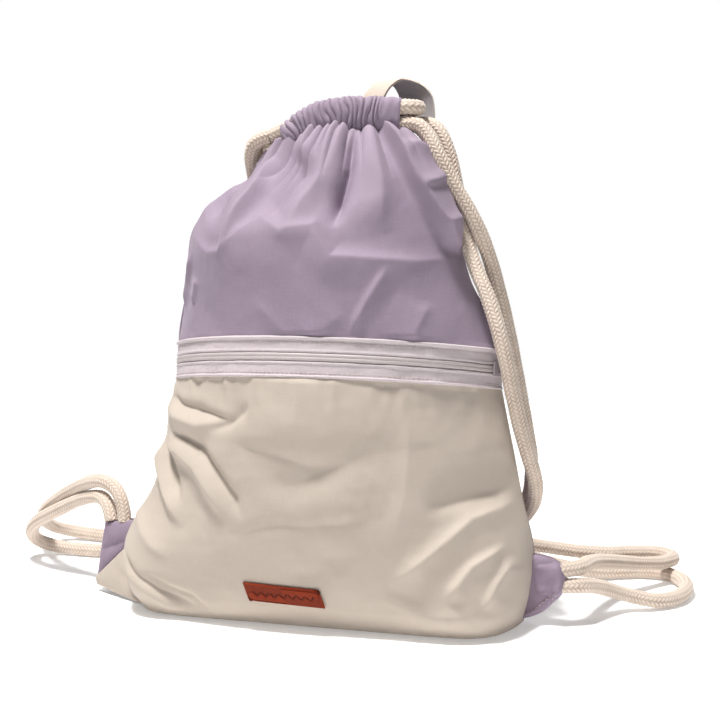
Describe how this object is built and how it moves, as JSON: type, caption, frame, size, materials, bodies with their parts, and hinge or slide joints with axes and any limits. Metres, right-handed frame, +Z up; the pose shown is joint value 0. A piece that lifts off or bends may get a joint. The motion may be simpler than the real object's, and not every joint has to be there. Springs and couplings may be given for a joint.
{
  "type": "drawstring backpack",
  "caption": "Standing two-tone cloth drawstring backpack: gathered mouth in rope casings, braided rope straps sewn to base corner tabs, zipped front pocket, leather label and hang loop",
  "frame": {"origin": "middle of the flat base the bag stands on, at floor level, under the seam plane between front and back", "axes": "+Z up through the mouth, +Y from the front pocket towards the back, +X to the right seen from the front"},
  "size_m": [0.6056, 0.2791, 0.4187],
  "materials": {
    "cloth_greige": "matte woven cloth, warm grey",
    "cloth_lilac": "matte woven cloth with a faint sheen, dusty lilac",
    "cloth_back": "matte woven cloth with a faint sheen, dusty lilac",
    "ear_cloth": "doubled woven cloth, dusty lilac",
    "lining": "thin plain lining cloth",
    "zip_tape": "ribbed woven tape, pinkish grey",
    "zip_coil": "satin nylon coil",
    "zip_metal": "satin painted die casting",
    "rope": "soft braided cord, cream pink",
    "label_leather": "waxed red-brown leather, embossed",
    "webbing": "flat woven webbing, grey"
  },
  "bodies": {
    "bag": {"pocket_panel": "cloth_greige", "pocket_lining": "lining", "upper_front_panel": "cloth_lilac", "back_panel": "cloth_back", "zip_tape_lower": "zip_tape", "zip_tape_upper": "zip_tape", "zip_coil_lower": "zip_coil", "zip_coil_upper": "zip_coil", "casing_front": "cloth_lilac", "casing_back": "cloth_lilac", "channel_cord_left": "rope", "channel_cord_right": "rope", "corner_patch_right": "ear_cloth", "corner_patch_left": "ear_cloth", "corner_hem_right": "cloth_greige", "corner_hem_left": "cloth_greige", "leather_label": "label_leather", "hang_loop": "webbing", "cord_right_front": "rope", "cord_right_rear": "rope", "cord_left_front": "rope", "cord_left_rear": "rope"},
    "slider": {"zip_slider": "zip_metal"},
    "pull": {"zip_pull": "zip_metal"}
  },
  "joints": [
    {"name": "zip_slide", "type": "hinge", "parent": "bag", "child": "slider", "pos_m": [0, 0.06043, 0.18408], "axis": [0, 0.165, 0.9863], "range_deg": [-125, 0]},
    {"name": "pull_swing", "type": "hinge", "parent": "slider", "child": "pull", "pos_m": [0.13575, -0.00425, 0.19491], "axis": [0, 0.165, 0.9863], "range_deg": [-95, 0]}
  ]
}
